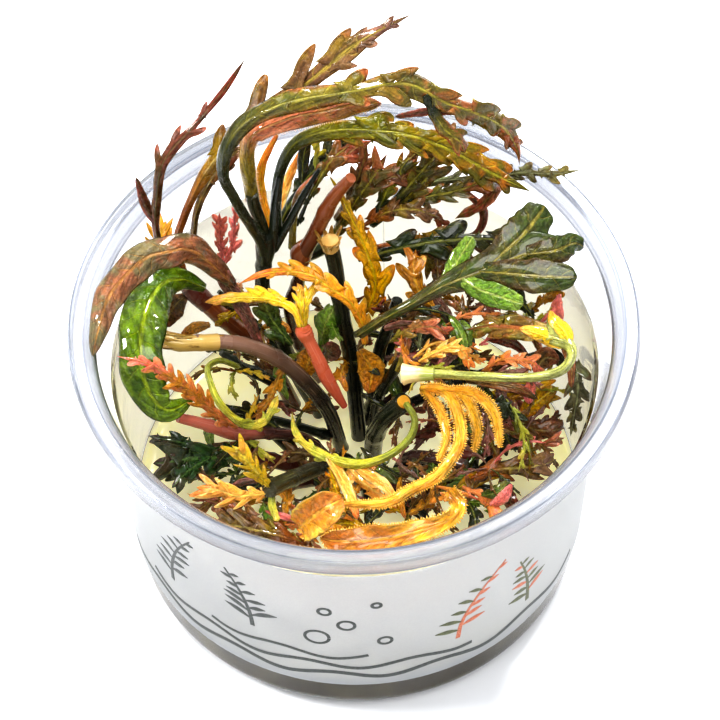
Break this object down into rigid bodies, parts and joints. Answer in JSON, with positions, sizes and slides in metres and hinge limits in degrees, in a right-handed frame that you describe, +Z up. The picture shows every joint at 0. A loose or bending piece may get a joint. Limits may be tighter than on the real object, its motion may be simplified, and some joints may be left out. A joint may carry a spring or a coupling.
{
  "type": "lobed-leaf aquarium plant in a clear culture cup",
  "caption": "Aquarium plant with narrow lobed leaves on cut stems, standing in jelly in a clear round rimmed cup with a paper wrap.",
  "frame": {"origin": "centre of the cup's underside", "axes": "+Z up along the cup's axis, -Y towards the front, which is the side that the picture was taken from, +X to the right seen from the front"},
  "size_m": [0.1, 0.1, 0.1013],
  "materials": {
    "clear_plastic": "clear, thin, glossy moulded plastic",
    "wrap_paper": "smooth coated white paper, slightly grey in the shade",
    "jelly": "soft pale nutrient jelly, cream on top and olive through the wall",
    "dark_stem": "glossy, almost black green stem with faint pale streaks",
    "rust": "glossy rust-red stem",
    "beige_stem": "satin beige stem that darkens towards its foot",
    "maroon_stem": "glossy dark maroon stem",
    "brown_leaf": "glossy copper-brown leaf with green midrib",
    "orange_leaf": "satin orange to gold leaf",
    "yellow_leaf": "satin yellow leaf",
    "pink_leaf": "satin pink-red leaf",
    "olive_leaf": "glossy olive leaf with brown margins",
    "green_leaf": "glossy green leaf with pale veins",
    "dark_leaf": "glossy dark green leaf"
  },
  "bodies": {
    "root": {"cup": "clear_plastic", "wrap": "wrap_paper", "jelly": "jelly", "crowned_stem": "dark_stem", "noded_stem": "dark_stem", "stub_stem": "dark_stem", "slant_stem": "dark_stem", "leafy_stem": "dark_stem", "front_stem": "dark_stem", "rust_stem": "rust", "left_rust_stem": "rust", "rolled_leaf": "rust", "beige_stem": "beige_stem", "maroon_stem": "maroon_stem", "mauve_stem": "maroon_stem", "red_edge_leaf": "brown_leaf", "brown_back_leaf": "brown_leaf", "curved_leaf": "brown_leaf", "copper_leaf": "brown_leaf", "arch_shoot": "brown_leaf", "front_wall_shoot": "brown_leaf", "coral_shoot": "orange_leaf", "frilly_leaf": "orange_leaf", "orange_leaf": "orange_leaf", "gold_lobed_shoot": "orange_leaf", "gold_back_leaf": "orange_leaf", "gold_hook_leaf": "orange_leaf", "gold_low_leaf": "orange_leaf", "amber_leaf": "orange_leaf", "beige_forked_leaf": "orange_leaf", "ochre_leaf": "orange_leaf", "yellow_loop_leaf": "yellow_leaf", "yellow_leaf": "yellow_leaf", "golden_leaf": "yellow_leaf", "pale_petiole_leaf": "yellow_leaf", "fuzzy_leaf": "yellow_leaf", "ring_leaf": "yellow_leaf", "pink_stem": "pink_leaf", "pink_tip_leaf": "pink_leaf", "coral_back_shoot": "pink_leaf", "coral_right_leaf": "pink_leaf", "pink_arch_leaf": "pink_leaf", "coral_low_shoot": "pink_leaf", "olive_shoot": "olive_leaf", "tall_leaf": "olive_leaf", "arching_leaf": "olive_leaf", "flat_leaf": "olive_leaf", "curl_shoot": "olive_leaf", "lower_gold_leaf": "olive_leaf", "olive_leaf": "green_leaf", "back_shoot": "green_leaf", "grey_leaf": "green_leaf", "glossy_leaf": "green_leaf", "green_shoot": "green_leaf", "centre_shoot": "green_leaf", "big_leaf": "green_leaf", "wall_leaf": "green_leaf", "dark_leaf": "dark_leaf", "forked_leaf": "dark_leaf", "dark_front_leaf": "dark_leaf"}
  },
  "joints": []
}
